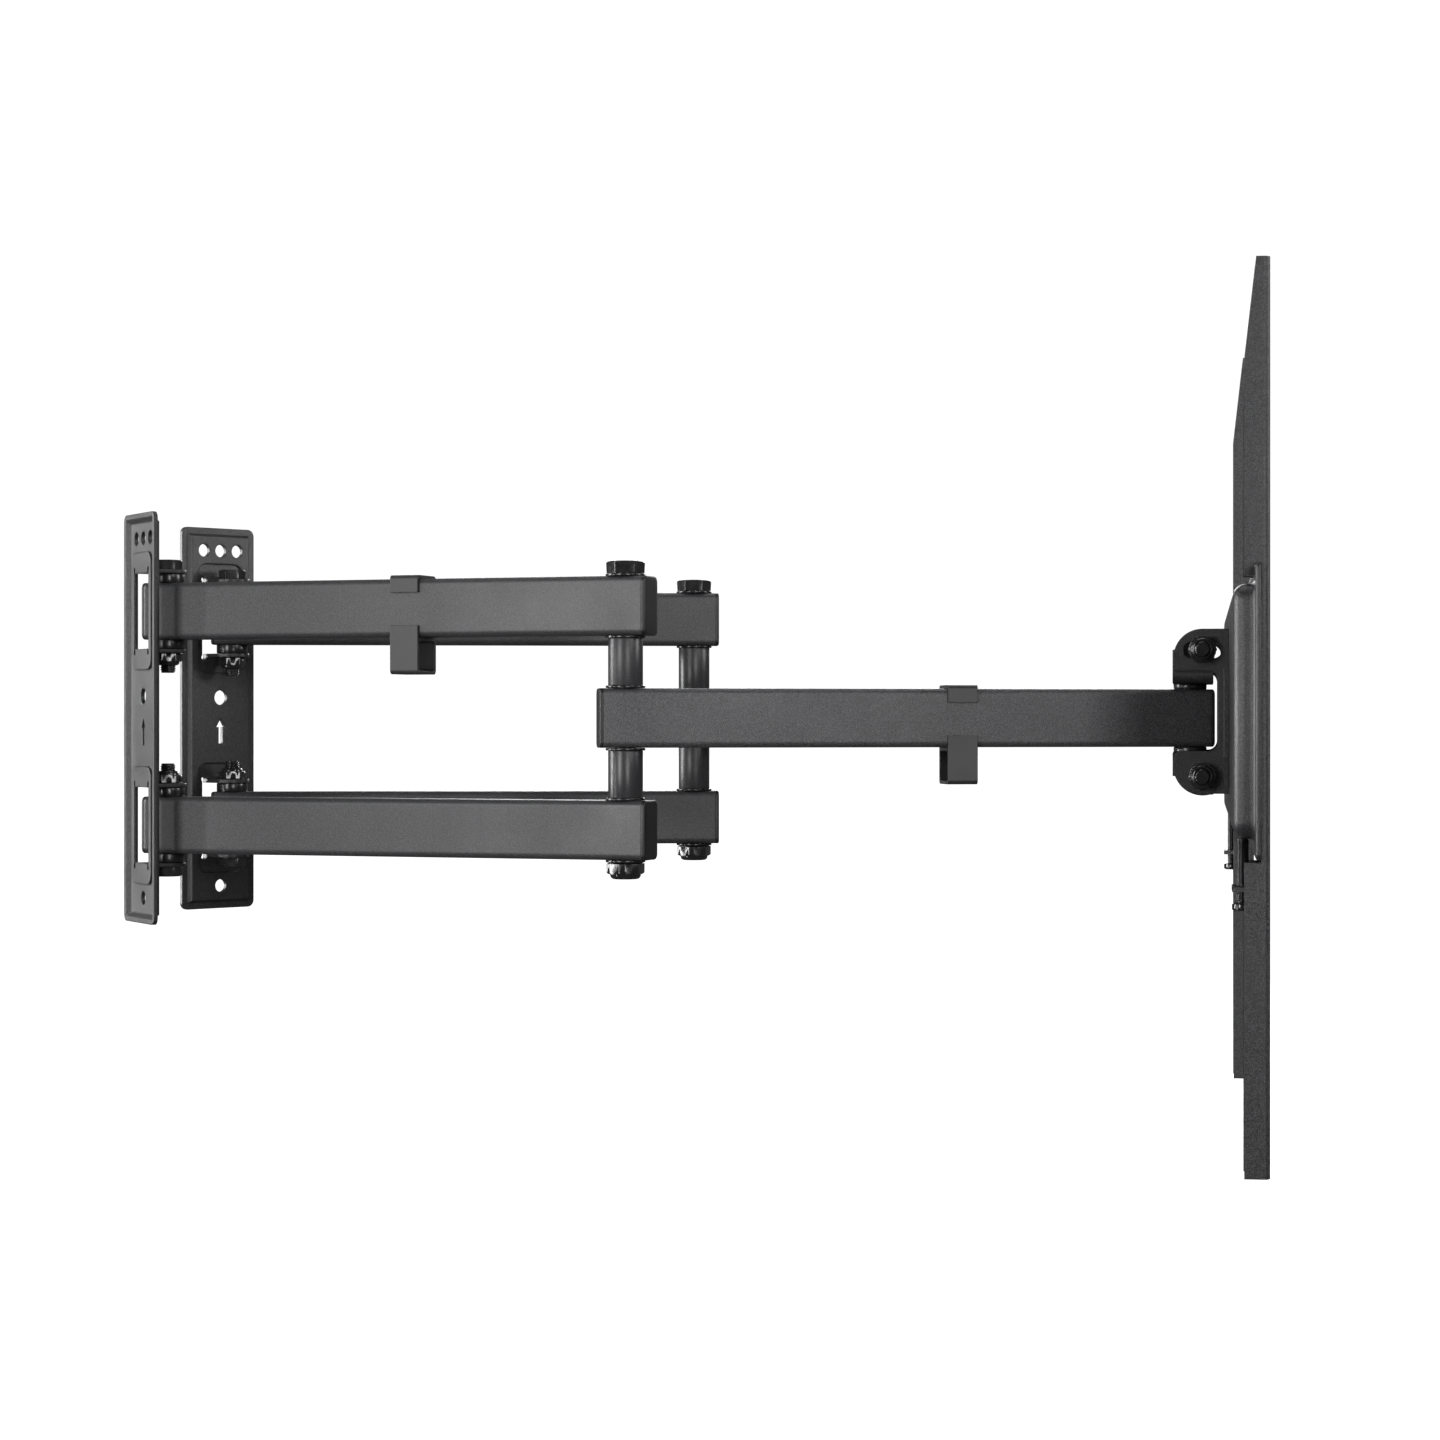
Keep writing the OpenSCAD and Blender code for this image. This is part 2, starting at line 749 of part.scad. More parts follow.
side("right") elbow_washers();  // right_elbow_washers
side("left") rear_cable_clip();
side("left") forearm_cable_clip();
wrist_bolts();
wrist_nuts();
wrist_bushings();
upper_swivel_bracket();
lower_swivel_bracket();
side("left") tilt_plate();  // left_tilt_plate
side("right") tilt_plate();  // right_tilt_plate
tilt_pivot_bolts();
tilt_pivot_nuts();
tilt_slot_bolts();
tilt_slot_nuts();
tilt_washers();
tilt_spacers();
tv_rail();
side("left") screen_bracket();  // left_screen_bracket
side("right") screen_bracket();  // right_screen_bracket
side("left") lock_screw();  // left_lock_screw
side("right") lock_screw();  // right_lock_screw
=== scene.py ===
import json
import math

import bmesh
import bpy
from mathutils import Matrix, Vector


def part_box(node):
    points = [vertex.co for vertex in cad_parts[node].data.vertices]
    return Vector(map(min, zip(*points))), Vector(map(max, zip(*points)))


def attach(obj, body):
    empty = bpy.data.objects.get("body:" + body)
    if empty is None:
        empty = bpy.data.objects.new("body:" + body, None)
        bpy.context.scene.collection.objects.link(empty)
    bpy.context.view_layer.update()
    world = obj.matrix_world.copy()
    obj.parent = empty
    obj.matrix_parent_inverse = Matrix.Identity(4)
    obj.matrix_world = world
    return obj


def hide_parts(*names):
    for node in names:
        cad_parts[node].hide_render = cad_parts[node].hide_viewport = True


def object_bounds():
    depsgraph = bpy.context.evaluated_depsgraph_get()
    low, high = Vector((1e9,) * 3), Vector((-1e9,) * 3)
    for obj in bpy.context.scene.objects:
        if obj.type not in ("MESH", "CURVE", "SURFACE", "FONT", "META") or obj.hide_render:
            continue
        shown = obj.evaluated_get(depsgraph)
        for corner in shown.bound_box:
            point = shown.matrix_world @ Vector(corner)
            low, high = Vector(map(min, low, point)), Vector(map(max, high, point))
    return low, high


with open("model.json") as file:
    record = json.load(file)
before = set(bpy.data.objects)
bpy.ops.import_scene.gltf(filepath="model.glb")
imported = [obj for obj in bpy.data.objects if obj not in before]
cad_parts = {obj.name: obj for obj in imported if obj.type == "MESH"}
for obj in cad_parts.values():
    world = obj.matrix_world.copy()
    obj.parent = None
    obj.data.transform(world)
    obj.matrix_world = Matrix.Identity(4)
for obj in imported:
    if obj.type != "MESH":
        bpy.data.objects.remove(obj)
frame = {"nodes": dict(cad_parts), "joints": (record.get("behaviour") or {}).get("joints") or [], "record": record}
cad_low, cad_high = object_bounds()

MM = 0.001
SIDES = (("left", -1), ("right", 1))

# ---- camera, from the photograph's viewpoint: level, beside the head, a long lens ----

CAMERA_AT = (3 * MM, -1636 * MM, -1 * MM)
CAMERA_TURN = math.radians(6.16)
SENSOR = 36
LENS = 76.875
CAMERA_SHIFT = -0.1

camera = bpy.data.objects.new("camera", bpy.data.cameras.new("camera"))
camera.data.sensor_width = SENSOR
camera.data.lens = LENS
camera.data.shift_x = CAMERA_SHIFT
camera.location = CAMERA_AT
camera.rotation_euler = (math.pi / 2, 0, CAMERA_TURN)
bpy.context.scene.collection.objects.link(camera)
bpy.context.scene.camera = camera


# ---- materials ----

class Nodes:
    """A material's node tree, with short calls to add and join nodes."""

    def __init__(self, name):
        self.material = bpy.data.materials.new(name)
        self.material.use_nodes = True
        self.tree = self.material.node_tree
        self.shader = self.tree.nodes["Principled BSDF"]
        self.place = self.add("ShaderNodeTexCoord").outputs["Object"]

    def add(self, kind, **values):
        node = self.tree.nodes.new(kind)
        for name, value in values.items():
            if name in node.inputs:
                node.inputs[name].default_value = value
            else:
                setattr(node, name, value)
        return node

    def join(self, source, target):
        self.tree.links.new(source, target)

    def noise(self, scale, detail=2.0, roughness=0.5):
        node = self.add("ShaderNodeTexNoise", Scale=scale, Detail=detail, Roughness=roughness)
        self.join(self.place, node.inputs["Vector"])
        return node.outputs["Fac"]

    def spread(self, source, low, high, to_low, to_high):
        node = self.add("ShaderNodeMapRange")
        ends = {"From Min": low, "From Max": high, "To Min": to_low, "To Max": to_high}
        for name, value in ends.items():
            node.inputs[name].default_value = value
        self.join(source, node.inputs["Value"])
        return node.outputs["Result"]

    def blend(self, factor, low, high):
        node = self.add("ShaderNodeMix", data_type="RGBA")
        self.join(factor, node.inputs["Factor"])
        for socket, colour in ((node.inputs[6], low), (node.inputs[7], high)):
            socket.default_value = (*colour, 1)
        return node.outputs[2]

    def bump(self, layers, edge=0.0):
        """Bumps on top of each other, over edges that shade as if rounded by edge metres."""
        normal = None
        if edge:
            node = self.add("ShaderNodeBevel")
            node.samples = 4
            node.inputs["Radius"].default_value = edge
            normal = node.outputs["Normal"]
        for height, strength, distance in layers:
            node = self.add("ShaderNodeBump")
            node.inputs["Strength"].default_value = strength
            node.inputs["Distance"].default_value = distance
            self.join(height, node.inputs["Height"])
            if normal is not None:
                self.join(normal, node.inputs["Normal"])
            normal = node.outputs["Normal"]
        self.join(normal, self.shader.inputs["Normal"])


def powder_coat(name, colour, rough, grain=0.35, edge=0.6, specular=0.5):
    """Black powder coat: a pebbled grain, faint orange peel and pale flecks; edge is in millimetres."""
    m = Nodes(name)
    m.shader.inputs["Specular IOR Level"].default_value = specular
    grains = m.noise(1500, 3, 0.65)
    flecks = m.noise(1900, 2, 0.6)
    peel = m.noise(380, 2)
    cloud = m.noise(22, 3)
    pale = tuple(min(1, c * (1.6 + 3 * grain) + 0.02 * grain) for c in colour)
    dark = tuple(c * (1 - 0.5 * grain) for c in colour)
    fleck = m.spread(flecks, 0.40, 0.66, 0, 1)
    m.join(m.blend(fleck, dark, pale), m.shader.inputs["Base Color"])
    uneven = m.spread(cloud, 0.3, 0.7, rough - 0.05, rough + 0.06)
    m.join(uneven, m.shader.inputs["Roughness"])
    m.bump([(peel, 0.10, 0.0002), (grains, grain, 0.00022)], edge * MM)
    return m.material


def black_zinc(name, colour, rough):
    """Glossy black fastener finish with soft smudges and fine turning marks."""
    m = Nodes(name)
    smudge = m.noise(160, 4, 0.6)
    marks = m.noise(1800, 2)
    m.join(m.blend(m.spread(smudge, 0.35, 0.7, 0, 1), colour, tuple(c * 2.2 for c in colour)),
           m.shader.inputs["Base Color"])
    m.join(m.spread(smudge, 0.3, 0.7, rough - 0.04, rough + 0.06), m.shader.inputs["Roughness"])
    m.shader.inputs["Specular IOR Level"].default_value = 0.75
    m.shader.inputs["Metallic"].default_value = 0.06
    m.bump([(marks, 0.12, 0.00004)], 0.35 * MM)
    return m.material


def moulded(name, colour, rough, texture):
    """Moulded black plastic with a light spark-eroded texture."""
    m = Nodes(name)
    fine = m.noise(1500, 2, 0.55)
    flow = m.noise(60, 3)
    m.join(m.blend(m.spread(flow, 0.35, 0.7, 0, 1), colour, tuple(c * 1.5 + 0.002 for c in colour)),
           m.shader.inputs["Base Color"])
    m.join(m.spread(flow, 0.3, 0.7, rough - 0.04, rough + 0.06), m.shader.inputs["Roughness"])
    m.bump([(fine, texture, 0.00006)], 0.4 * MM)
    return m.material


MATERIALS = {
    "plate_powder_coat": powder_coat("plate_coat", (0.016, 0.016, 0.017), 0.34, edge=1.2, specular=0.45),
    "tube_powder_coat": powder_coat("tube_coat", (0.030, 0.030, 0.032), 0.38, 0.20, edge=1.2),
    "forearm_powder_coat": powder_coat("forearm_coat", (0.028, 0.028, 0.030), 0.38, 0.50, edge=1.2),
    "bracket_powder_coat": powder_coat("bracket_coat", (0.008, 0.008, 0.009), 0.32, 0.85),
    "sleeve_powder_coat": powder_coat("sleeve_coat", (0.022, 0.022, 0.024), 0.34, 0.12),
    "black_zinc": black_zinc("black_zinc", (0.008, 0.008, 0.009), 0.16),
    "bushing_plastic": moulded("bushing_nylon", (0.008, 0.008, 0.008), 0.24, 0.05),
    "cap_plastic": moulded("cap_plastic", (0.008, 0.008, 0.008), 0.42, 0.20),
    "clip_plastic": moulded("clip_plastic", (0.022, 0.022, 0.023), 0.38, 0.15),
}
SLOT_OF = {part["node"]: part["material_slot"] for part in frame["record"]["subparts"]}
BODY_OF = {}
for body, nodes in frame["record"]["behaviour"]["bodies"].items():
    for node in nodes:
        BODY_OF[node] = body

for node, obj in frame["nodes"].items():
    for material_slot in obj.material_slots:
        material_slot.material = MATERIALS[SLOT_OF[node]]


# ---- new pieces ----

def stand_for(node, mesh, smooth=40):
    """A piece made of this mesh takes a CAD node's place, on its body and in its finish."""
    obj = bpy.data.objects.new(node + "_detail", mesh)
    bpy.context.scene.collection.objects.link(obj)
    mesh.materials.clear()
    mesh.materials.append(MATERIALS[SLOT_OF[node]])
    for face in mesh.polygons:
        face.use_smooth = True
    mesh.set_sharp_from_angle(angle=math.radians(smooth))
    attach(obj, BODY_OF[node])
    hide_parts(node)
    return obj


class Loft:
    """Gathers closed skins, each made of rows of points, into one mesh."""

    def __init__(self, sides=48):
        self.bm = bmesh.new()
        self.sides = sides

    def skin(self, rows, hollow=False):
        """Joins rows of equally many points; the ends are closed, or joined to each other."""
        made = [[self.bm.verts.new(point) for point in row] for row in rows]
        pairs = list(zip(made, made[1:]))
        if hollow:
            pairs.append((made[-1], made[0]))
        for low, high in pairs:
            for i in range(len(low)):
                j = (i + 1) % len(low)
                self.bm.faces.new((low[i], low[j], high[j], high[i]))
        if not hollow:
            self.bm.faces.new(list(reversed(made[0])))
            self.bm.faces.new(made[-1])

    def turned(self, rows, at=Matrix(), hollow=False):
        """rows are (z, radius), where radius is a number or a function of the angle."""
        points = []
        for z, radius in rows:
            row = []
            for i in range(self.sides):
                turn = 2 * math.pi * i / self.sides
                r = radius(turn) if callable(radius) else radius
                row.append(at @ Vector((r * math.cos(turn), r * math.sin(turn), z)))
            points.append(row)
        self.skin(points, hollow)

    def mesh(self, name):
        mesh = bpy.data.meshes.new(name)
        bmesh.ops.recalc_face_normals(self.bm, faces=self.bm.faces)
        self.bm.to_mesh(mesh)
        self.bm.free()
        return mesh


def hexagon(flat, limit):
    """Radius of a hexagon by angle, for its distance across flats, cut by a round limit."""
    def radius(turn):
        part = (turn % (math.pi / 3)) - math.pi / 6
        return min(flat / 2 / math.cos(part), limit)
    return radius


def hex_head(loft, flat, z0, z1, at):
    """A chamfered hexagon head from z0 up to z1: a round washer face below, a shallow dish on top."""
    corner = flat / 2 / math.cos(math.pi / 6)
    cut = corner - flat / 2
    seat, foot = flat * 0.47, z0 + 0.3 * MM
    rows = [(z0, seat), (foot, seat), (foot, hexagon(flat, corner - cut * 0.2))]
    steps = 5
    for i in range(steps + 1):
        limit = corner * 1.002 - (cut + 0.25 * MM) * (i / steps) ** 1.3
        rows.append((z1 - cut * 0.62 * (1 - i / steps), hexagon(flat, limit)))
    rows += [(z1, flat * 0.36), (z1 - 0.35 * MM, flat * 0.31)]
    loft.turned(rows, at)


def thread(loft, radius, pitch, z0, z1, at):
    """A threaded shank whose crest winds up from z0 to z1, with tapered ends."""
    depth = pitch * 0.55
    per_pitch = 6
    count = max(6, int((z1 - z0) / pitch * per_pitch))
    rows = []
    for k in range(count + 1):
        z = z0 + (z1 - z0) * k / count
        ends = min(1, (z - z0) / pitch, (z1 - z) / pitch)

        def around(turn, z=z, ends=ends):
            phase = (z / pitch - turn / (2 * math.pi)) % 1
            groove = 1 - abs(2 * phase - 1)
            return radius - depth * groove * groove - (1 - ends) * depth * 0.8
        rows.append((z, around))
    loft.turned(rows, at)


def lock_nut(loft, flat, z0, z1, at, bore):
    """A hexagon nut from z0 to z1, with a domed nylon collar at its far end."""
    collar = (z1 - z0) * 0.30
    corner = flat / 2 / math.cos(math.pi / 6)
    cut = corner - flat / 2
    body = z1 - collar
    loft.turned([
        (z0, bore), (z0, flat * 0.47), (z0 + cut * 0.5, hexagon(flat, corner)),
        (body - cut * 0.5, hexagon(flat, corner)), (body, hexagon(flat, flat / 2 + 0.1 * MM)),
        (body, flat * 0.46), (body + collar * 0.45, flat * 0.45), (z1 - collar * 0.15, flat * 0.41),
        (z1, flat * 0.35), (z1, bore + 0.3 * MM), (z1 - 0.5 * MM, bore)
    ], at, hollow=True)


def collar(loft, outer, bore, z0, z1, at, edge=0.35 * MM):
    """A ring with rounded outside edges."""
    loft.turned([
        (z0, bore), (z0, outer - edge), (z0 + edge * 0.3, outer - edge * 0.3), (z0 + edge, outer),
        (z1 - edge, outer), (z1 - edge * 0.3, outer - edge * 0.3), (z1, outer - edge), (z1, bore)
    ], at, hollow=True)


def rounded_rectangle(half_width, half_height, corner):
    """Points round a rectangle with rounded corners, 7 on each corner."""
    points = []
    for quarter, (sx, sy) in enumerate(((1, 1), (-1, 1), (-1, -1), (1, -1))):
        for step in range(7):
            turn = math.pi / 2 * (quarter + step / 6)
            points.append((sx * (half_width - corner) + corner * math.cos(turn),
                           sy * (half_height - corner) + corner * math.sin(turn)))
    return points


def end_cap(loft, at, width, height, thickness):
    """A moulded cap on a rectangular tube: upright sides, a rounded edge and a slightly domed face."""
    rows = []
    for z, inset, corner in ((-3, 1.9, 1.2), (0, 1.9, 1.2), (0, 0, 3), (0.62, 0, 3), (0.8, 0.15, 2.9),
                             (0.93, 0.5, 2.6), (0.98, 1.1, 2.2), (1.0, 3.5, 1.5), (1.0, 6.5, 1.0)):
        out = z * (thickness if z > 0 else MM)
        outline = rounded_rectangle(width / 2 - inset * MM, height / 2 - inset * MM, corner * MM)
        rows.append([at @ Vector((x, y, out)) for x, y in outline])
    loft.skin(rows)


def upright(x, y, flip=1, turn=0):
    """Places a shape's axis on a vertical line, turned round it, the right way up or upside down."""
    place = Matrix.Translation((x, y, 0)) @ Matrix.Rotation(math.radians(turn), 4, "Z")
    return place if flip > 0 else place @ Matrix.Rotation(math.pi, 4, "X")


def sideways(x, z, k):
    """Places a shape's axis along Y, pointing out from the middle on side k."""
    return Matrix.Translation((x, 0, z)) @ Matrix.Rotation(-k * math.pi / 2, 4, "X")


def along(start, end, distance, z):
    """Places a shape's axis along the line from start to end, at a distance past start."""
    direction = (end - start).normalized()
    turn = Matrix((direction.cross(Vector((0, 0, 1))), Vector((0, 0, 1)), direction)).transposed()
    point = start + direction * distance
    return Matrix.Translation((point.x, point.y, z)) @ turn.to_4x4()


# ---- sizes shared with the CAD model ----

JOINT = {j["name"]: Vector(j["pos_m"]) for j in frame["joints"] if j.get("pos_m")}

M8, M8_HEX, M8_PITCH, M8_HEAD, M8_NUT = 4 * MM, 13 * MM, 1.25 * MM, 5.3 * MM, 6.5 * MM
M10, M10_HEX, M10_PITCH, M10_HEAD, M10_NUT = 5 * MM, 17 * MM, 1.5 * MM, 6.4 * MM, 8.5 * MM
TUBE_W, TUBE_H, TIER = 18 * MM, 30 * MM, 56.5 * MM
CAP, ELBOW_END, SHORT_END = 2 * MM, 12 * MM, 9 * MM
BUSHING, SLEEVE, WASHER, TILT_WASHER = 8.6 * MM, 8.8 * MM, 10 * MM, 7 * MM
SPIGOT_R, SPIGOT, FLANGE = 5.6 * MM, 3.3 * MM, 4.85 * MM
WASHER_T, BRACKET_T = 1.2 * MM, 2.5 * MM
RUNNING, SNUG, SLIP = 0.08 * MM, 0.05 * MM, 0.15 * MM

# degrees that the hexagons are turned about their bolts
SHOULDER_TURN, ELBOW_TURN, NUT_TURN = 16, 8, 22

# distances out from the middle, along a tilt bolt
EAR_IN, EAR_OUT, SPACER_TO = 38 * MM, 40.5 * MM, 41.55 * MM
NUT_FROM, NUT_TO = 45.55 * MM, 51.9 * MM
THREAD_FROM, THREAD_TO = 45.5 * MM, 53.4 * MM


def flanged_bushing(loft, at):
    """A nylon bushing on a tube's wall, its spigot inside the tube; the tube's face is at z = 0."""
    bore, edge = M8 + RUNNING, 0.5 * MM
    loft.turned([
        (-SPIGOT, bore), (-SPIGOT, SPIGOT_R - edge / 2), (edge / 2 - SPIGOT, SPIGOT_R), (0, SPIGOT_R),
        (0, BUSHING - edge), (edge * 0.3, BUSHING - edge * 0.3), (edge, BUSHING),
        (FLANGE - edge, BUSHING), (FLANGE - edge * 0.3, BUSHING - edge * 0.3), (FLANGE, BUSHING - edge),
        (FLANGE, bore)
    ], at, hollow=True)


def shoulder_hardware(side):
    """Two bolts, two lock nuts and four flanged bushings on one shoulder line."""
    axis = JOINT[side + "_shoulder"]
    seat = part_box(side + "_shoulder_bolts")[1].z - M8_HEAD
    nut_seat = seat - 2 * (seat - TIER)
    bolts, nuts, bushings = Loft(), Loft(), Loft()
    for flip in (1, -1):
        at = upright(axis.x, axis.y, flip, SHOULDER_TURN)
        hex_head(bolts, M8_HEX, seat, seat + M8_HEAD, at)
        bolts.turned([(nut_seat, M8), (seat, M8)], at)
        thread(bolts, M8, M8_PITCH, nut_seat - M8_NUT - 4 * MM, nut_seat, at)
        lock_nut(nuts, M8_HEX, -nut_seat, -nut_seat + M8_NUT, upright(axis.x, axis.y, -flip, NUT_TURN), M8)
        for way in (1, -1):
            tube_middle = at @ Matrix.Translation((0, 0, TIER))
            tube_face = tube_middle @ upright(0, 0, way) @ Matrix.Translation((0, 0, TUBE_H / 2))
            flanged_bushing(bushings, tube_face)
    stand_for(side + "_shoulder_bolts", bolts.mesh("bolts"))
    stand_for(side + "_shoulder_nuts", nuts.mesh("nuts"))
    stand_for(side + "_shoulder_bushings", bushings.mesh("bushings"))


def elbow_hardware(side):
    """One long bolt with its domed lock nut, two spacer sleeves and six washers."""
    axis = JOINT[side + "_elbow"]
    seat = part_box(side + "_elbow_bolt")[1].z - M10_HEAD
    under = TIER - TUBE_H / 2
    at, below = upright(axis.x, axis.y, 1, ELBOW_TURN), upright(axis.x, axis.y, -1, NUT_TURN)
    bolt, nut, sleeves, washers = Loft(), Loft(), Loft(), Loft()
    hex_head(bolt, M10_HEX, seat, seat + M10_HEAD, at)
    bolt.turned([(-seat, M10), (seat, M10)], at)
    thread(bolt, M10, M10_PITCH, -seat - M10_NUT + 0.6 * MM, -seat, at)
    lock_nut(nut, M10_HEX, seat, seat + M10_NUT, below, M10)
    for flip in (at, below):
        on_forearm = TUBE_H / 2 + SLIP
        collar(sleeves, SLEEVE, M10 + SNUG, on_forearm + WASHER_T, under - WASHER_T, flip)
        for z in (on_forearm, under - WASHER_T, TIER + TUBE_H / 2):
            collar(washers, WASHER, M10 + SNUG, z, z + WASHER_T, flip, 0.25 * MM)
    stand_for(side + "_elbow_bolt", bolt.mesh("bolt"))
    stand_for(side + "_elbow_nut", nut.mesh("nut"))
    stand_for(side + "_elbow_sleeves", sleeves.mesh("sleeves"))
    stand_for(side + "_elbow_washers", washers.mesh("washers"))


def wrist_hardware():
    """A bolt, a lock nut and two bushings at each wrist."""
    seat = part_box("wrist_bolts")[1].z - M8_HEAD
    bolts, nuts, bushings = Loft(), Loft(), Loft()
    for side, _ in SIDES:
        axis = JOINT[side + "_wrist"]
        at, below = upright(axis.x, axis.y), upright(axis.x, axis.y, -1)
        hex_head(bolts, M8_HEX, seat, seat + M8_HEAD, at)
        bolts.turned([(-seat, M8), (seat, M8)], at)
        thread(bolts, M8, M8_PITCH, -seat - M8_NUT - 2 * MM, -seat, at)
        lock_nut(nuts, M8_HEX, seat, seat + M8_NUT, below, M8)
        for flip in (at, below):
            collar(bushings, BUSHING, M8 + SNUG, TUBE_H / 2 + SLIP, seat - BRACKET_T, flip, 0.5 * MM)
    stand_for("wrist_bolts", bolts.mesh("bolts"))
    stand_for("wrist_nuts", nuts.mesh("nuts"))
    stand_for("wrist_bushings", bushings.mesh("bushings"))


def tilt_hardware():
    """The four bolts that hold the tilt plates to the ears, with their nuts, washers and spacers."""
    pivot = JOINT["tilt"]
    slot_z = (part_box("tilt_slot_bolts")[0].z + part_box("tilt_slot_bolts")[1].z) / 2
    washers, spacers = Loft(), Loft()
    for name, z in (("tilt_pivot", pivot.z), ("tilt_slot", slot_z)):
        bolts, nuts = Loft(), Loft()
        for side, k in SIDES:
            at = sideways(pivot.x, z, k)
            back = at @ Matrix.Rotation(math.pi, 4, "X")
            hex_head(bolts, M8_HEX, -EAR_IN, -EAR_IN + M8_HEAD, back)
            bolts.turned([(EAR_IN, M8), (THREAD_FROM, M8)], at)
            thread(bolts, M8, M8_PITCH, THREAD_FROM, THREAD_TO, at)
            lock_nut(nuts, M8_HEX, NUT_FROM, NUT_TO, at, M8)
            collar(washers, TILT_WASHER, M8 + SNUG, NUT_FROM - WASHER_T, NUT_FROM, at, 0.2 * MM)
            collar(spacers, TILT_WASHER, M8 + SNUG, EAR_OUT, SPACER_TO, at, 0.2 * MM)
        stand_for(name + "_bolts", bolts.mesh("bolts"))
        stand_for(name + "_nuts", nuts.mesh("nuts"))
    stand_for("tilt_washers", washers.mesh("washers"))
    stand_for("tilt_spacers", spacers.mesh("spacers"))


def end_caps(side):
    """The caps in both ends of one arm's three tubes."""
    shoulder, elbow, wrist = (JOINT[side + name] for name in ("_shoulder", "_elbow", "_wrist"))
    rear, fore = Loft(), Loft()
    for z in (-TIER, TIER):
        end_cap(rear, along(shoulder, elbow, (elbow - shoulder).length + ELBOW_END, z), TUBE_W, TUBE_H, CAP)
        end_cap(rear, along(elbow, shoulder, (elbow - shoulder).length + SHORT_END, z), TUBE_W, TUBE_H, CAP)
    end_cap(fore, along(wrist, elbow, (wrist - elbow).length + ELBOW_END, 0), TUBE_W, TUBE_H, CAP)
    end_cap(fore, along(elbow, wrist, (wrist - elbow).length + SHORT_END, 0), TUBE_W, TUBE_H, CAP)
    stand_for(side + "_rear_end_caps", rear.mesh("caps"))
    stand_for(side + "_forearm_end_caps", fore.mesh("caps"))


def lock_screw(side):
    """A thumb screw: a threaded shank with a blunt tip and a knurled round head."""
    low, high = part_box(side + "_lock_screw")
    at = Matrix.Translation(((low.x + high.x) / 2, (low.y + high.y) / 2, 0))
    head = low.z + 3.6 * MM
    knurl_r, ridge, ridges = 4.85 * MM, 0.15 * MM, 32
    screw = Loft(2 * ridges)

    def knurl(turn):
        return knurl_r + ridge * math.cos(ridges * turn)
    screw.turned([
        (low.z, 3.9 * MM), (low.z + 0.4 * MM, 4.7 * MM), (low.z + 0.7 * MM, knurl),
        (head - 0.6 * MM, knurl), (head - 0.3 * MM, 4.7 * MM), (head, 4.2 * MM)
    ], at)
    thread(screw, 3 * MM, 1 * MM, head, high.z, at)
    stand_for(side + "_lock_screw", screw.mesh("screw"))


def rail():
    """The pressed rail: a crowned pan with rounded bends, open to the screen, and a rim all round."""
    low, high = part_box("tv_rail")
    mid_z = (low.z + high.z) / 2
    sheet, bend, cove, lip = 2.2 * MM, 6 * MM, 3 * MM, 0.8 * MM
    end_rim, flange, nick, rim_corner = 6 * MM, 9.5 * MM, 0.6 * MM, 3 * MM
    rim_y, rim_z = high.y, high.z - mid_z
    wall_y, wall_z = rim_y - end_rim, rim_z - flange
    back, front = low.x, high.x
    sweep = [math.pi / 2 * i / 6 for i in range(7)]
    rows = []

    def ring(x, half_y, half_z, corner):
        outline = rounded_rectangle(half_y, half_z, corner)
        rows.append([Vector((x, y, z + mid_z)) for y, z in outline])

    def wall(x, inset, corner):
        ring(x, wall_y - inset, wall_z - inset, corner)

    for turn in sweep:
        inner = bend - sheet
        across, up = inner * math.cos(turn), inner * math.sin(turn)
        wall(back + bend - across, bend - up, 4 * MM + up)
    for turn in sweep:
        wall(front - lip + lip * math.sin(turn), sheet - lip + lip * math.cos(turn), 8 * MM)
    for x, inset in ((front, nick), (front - nick, 0), (front - sheet + nick, 0), (front - sheet, nick)):
        ring(x, rim_y - inset, rim_z - inset, rim_corner - inset)
    for turn in sweep:
        across, up = cove * math.cos(turn), cove * math.sin(turn)
        wall(front - sheet - cove + across, up - cove, 11 * MM - up)
    for turn in sweep:
        across, up = bend * math.sin(turn), bend * math.cos(turn)
        wall(back + bend - across, bend - up, 2.2 * MM + up)
    loft = Loft()
    loft.skin(rows)
    stand_for("tv_rail", loft.mesh("rail"), 50)


rail()
for side, _ in SIDES:
    shoulder_hardware(side)
    elbow_hardware(side)
    end_caps(side)
    lock_screw(side)
wrist_hardware()
tilt_hardware()


# ---- floor and lights ----

SHOWN_WHITE = 1.05
FLOOR_DROP = 160 * MM

def area_light(name, at, size, power, aim=(-0.25, 0, 0)):
    light = bpy.data.lights.new(name, "AREA")
    light.shape = "RECTANGLE"
    light.size, light.size_y = size
    light.energy = power
    obj = bpy.data.objects.new(name, light)
    obj.location = at
    obj.rotation_euler = (Vector(aim) - Vector(at)).to_track_quat("-Z", "Y").to_euler()
    bpy.context.scene.collection.objects.link(obj)


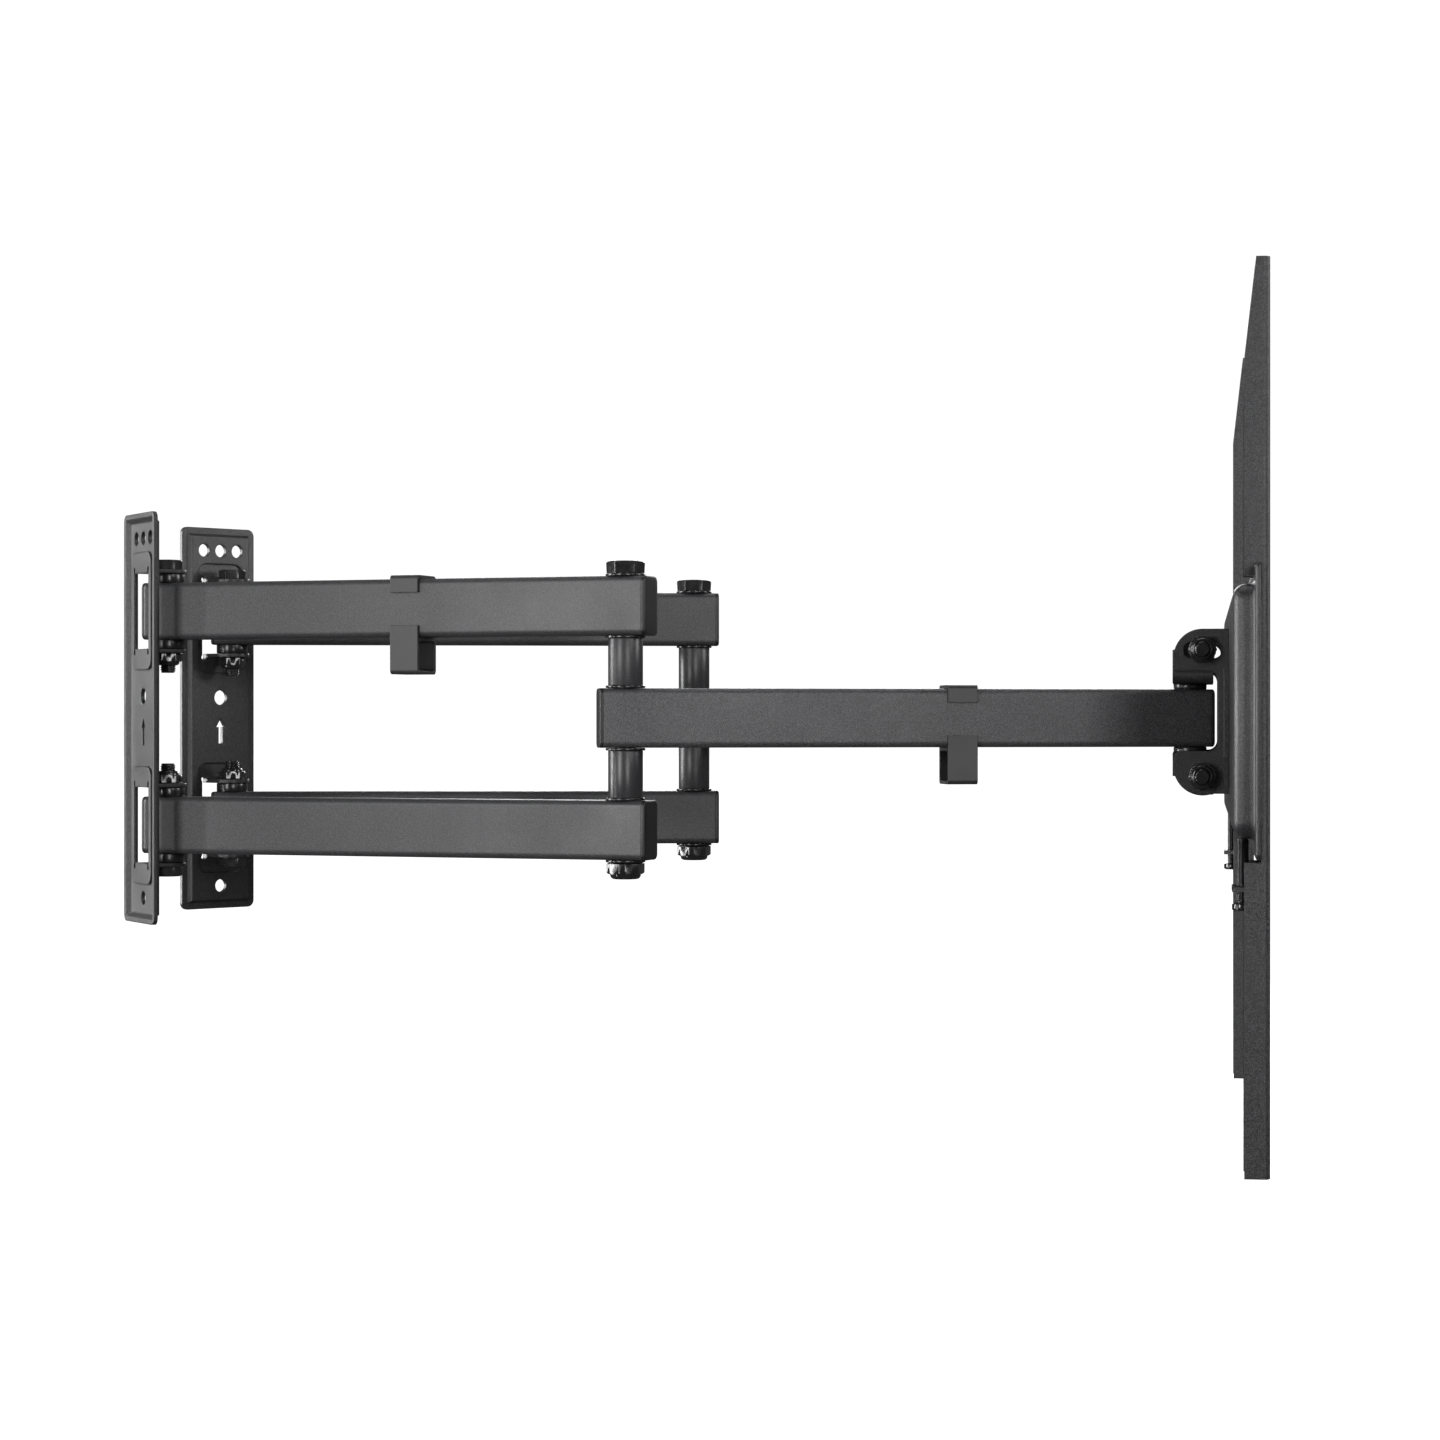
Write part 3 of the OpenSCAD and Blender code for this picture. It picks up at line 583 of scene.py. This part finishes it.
def floor():
    """A plain white floor far below the hanging part; it shows white and throws no light back."""
    bm = bmesh.new()
    bmesh.ops.create_circle(bm, cap_ends=True, segments=96, radius=30)
    mesh = bpy.data.meshes.new("floor")
    bm.to_mesh(mesh)
    bm.free()
    obj = bpy.data.objects.new("floor", mesh)
    obj.location.z = cad_low.z - FLOOR_DROP
    bpy.context.scene.collection.objects.link(obj)
    m = Nodes("floor")
    m.shader.inputs["Base Color"].default_value = (0.9, 0.9, 0.9, 1)
    m.shader.inputs["Roughness"].default_value = 0.9
    m.shader.inputs["Emission Color"].default_value = (1, 1, 1, 1)
    m.shader.inputs["Emission Strength"].default_value = SHOWN_WHITE
    mesh.materials.append(m.material)
    obj.visible_diffuse = False
    obj.visible_glossy = False


def studio(light_strength):
    """White to the camera, and a dimmer soft fill for everything the light falls on."""
    world = bpy.data.worlds.new("world")
    world.use_nodes = True
    tree = world.node_tree
    seen = tree.nodes["Background"]
    seen.inputs["Color"].default_value = (1, 1, 1, 1)
    seen.inputs["Strength"].default_value = SHOWN_WHITE
    fill = tree.nodes.new("ShaderNodeBackground")
    fill.inputs["Color"].default_value = (1, 1, 1, 1)
    fill.inputs["Strength"].default_value = light_strength
    path = tree.nodes.new("ShaderNodeLightPath")
    mix = tree.nodes.new("ShaderNodeMixShader")
    tree.links.new(path.outputs["Is Camera Ray"], mix.inputs[0])
    tree.links.new(fill.outputs[0], mix.inputs[1])
    tree.links.new(seen.outputs[0], mix.inputs[2])
    tree.links.new(mix.outputs[0], tree.nodes["World Output"].inputs["Surface"])
    bpy.context.scene.world = world


floor()
studio(0.11)
area_light("key", (-1.3, -2.0, 0.3), (0.5, 1.2), 23)
area_light("side", (-2.2, 0.1, 0.2), (0.6, 1.4), 50)
area_light("front", (0.75, -2.4, 0.3), (0.4, 1.2), 18)
area_light("strip", (-2.0, -1.0, -0.4), (0.10, 1.6), 10)
area_light("right", (1.2, -1.2, 1.0), (0.3, 1.0), 8)
area_light("screen_side", (2.3, 0.2, 0.7), (0.6, 1.2), 22)
area_light("back", (-0.2, 2.4, 0.8), (1.6, 0.6), 26)
area_light("top", (-0.3, 0.3, 2.1), (1.4, 0.5), 10)
bpy.context.scene.view_settings.view_transform = "Standard"
